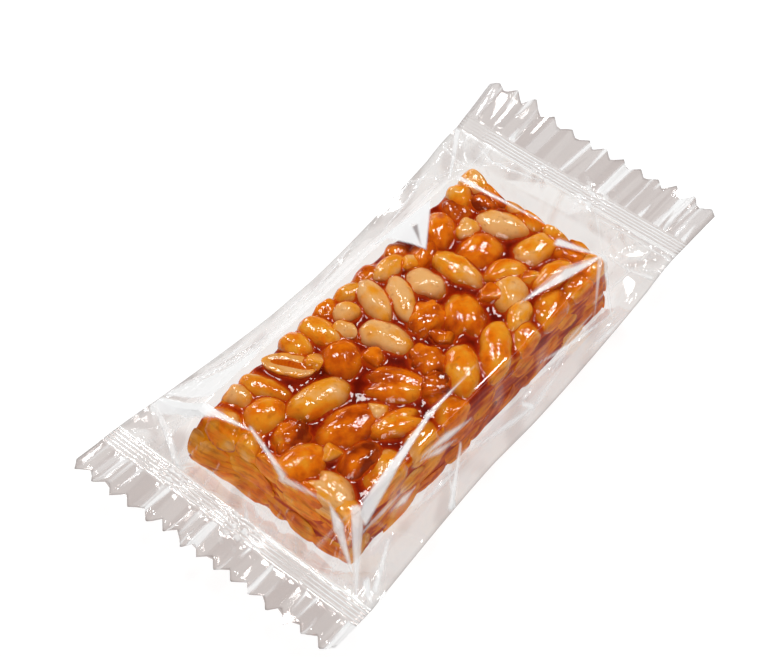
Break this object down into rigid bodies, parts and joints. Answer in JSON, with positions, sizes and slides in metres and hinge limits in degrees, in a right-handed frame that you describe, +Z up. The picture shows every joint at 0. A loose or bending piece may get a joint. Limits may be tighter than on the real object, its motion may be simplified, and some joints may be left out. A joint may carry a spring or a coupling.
{
  "type": "wrapped peanut brittle bar",
  "caption": "Rectangular bar of peanut brittle sealed in a clear film pack with a crimped, pleated and zigzag-cut seal at each end.",
  "frame": {"origin": "middle of the pack's overall length and width, on the flat underside that it lies on", "axes": "+X along the pack towards the end whose seal stands higher, +Y across the pack, +Z up out of the side that shows"},
  "size_m": [0.1404, 0.07, 0.0192],
  "materials": {
    "brittle": "glossy",
    "peanut": "glossy",
    "film": "clear"
  },
  "bodies": {
    "root": {"wrapped_brittle_bar": "brittle"}
  },
  "joints": []
}
